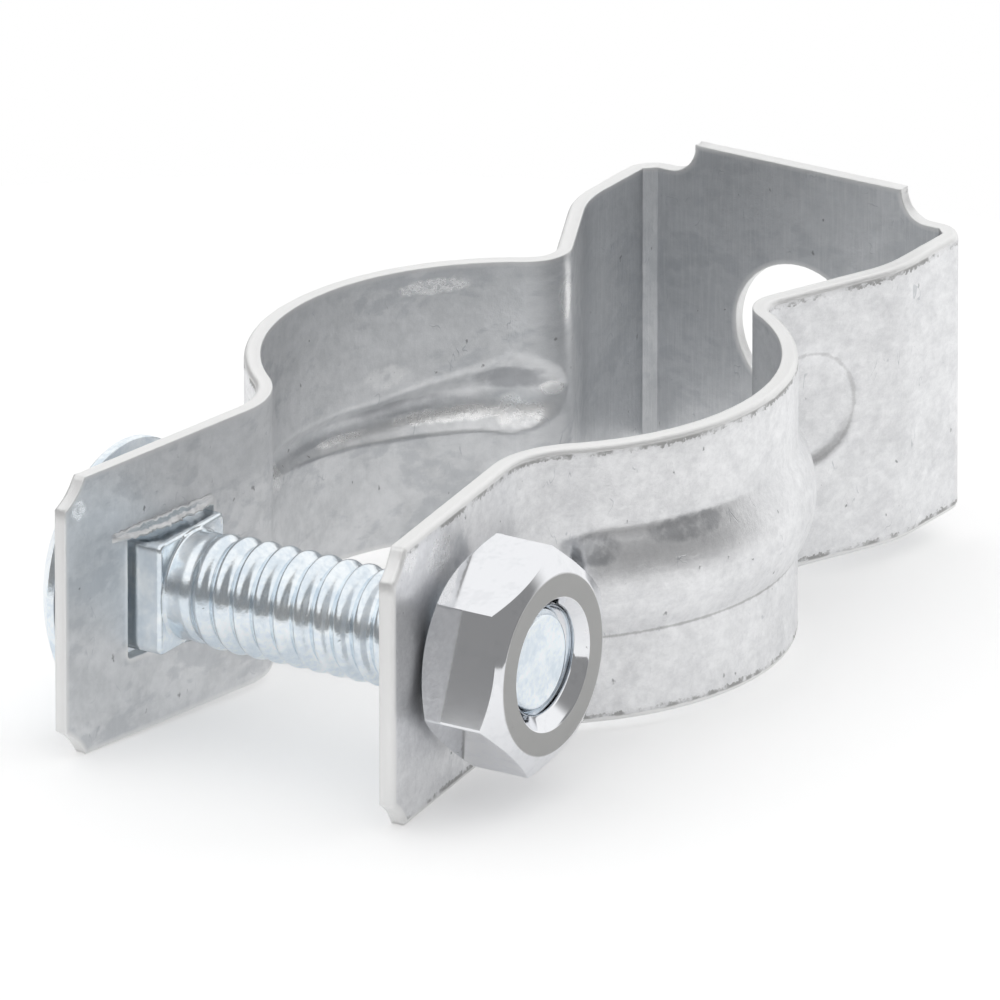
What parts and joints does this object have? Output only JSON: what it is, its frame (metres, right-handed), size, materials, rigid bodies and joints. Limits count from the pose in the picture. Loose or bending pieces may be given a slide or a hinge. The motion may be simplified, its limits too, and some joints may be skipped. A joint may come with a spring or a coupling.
{
  "type": "conduit clip",
  "caption": "Folded steel conduit clip: a base plate with a fixing hole, two beaded jaws and two ears closed by a carriage bolt and a hexagon nut.",
  "frame": {"origin": "on the conduit's axis at the middle of the strip's width", "axes": "+Z along the conduit, +Y towards the base plate, +X towards the nut"},
  "size_m": [0.032, 0.0594, 0.0194],
  "materials": {
    "galvanised_strip": "satin galvanised, mottled, with bright sheared edges",
    "zinc_bolt": "bright blue-white zinc plate",
    "bright_nut": "mirror-bright zinc plate with a matt machined face"
  },
  "bodies": {
    "strap": {"strap": "galvanised_strip"},
    "bolt": {"carriage_bolt": "zinc_bolt"},
    "nut": {"hex_nut": "bright_nut"}
  },
  "joints": [
    {"name": "bolt_slide", "type": "slide", "parent": "strap", "child": "bolt", "axis": [-1, 0, 0], "range_m": [-0.00085, 0.00127]},
    {"name": "nut_spin", "type": "hinge", "parent": "strap", "child": "nut", "pos_m": [0.01034, -0.02142, 0], "axis": [1, 0, 0], "range_deg": [-240, 360]}
  ],
  "couplings": [
    {"joint": "nut_spin", "follows": "bolt_slide", "rad_per_m": 4947.4}
  ]
}
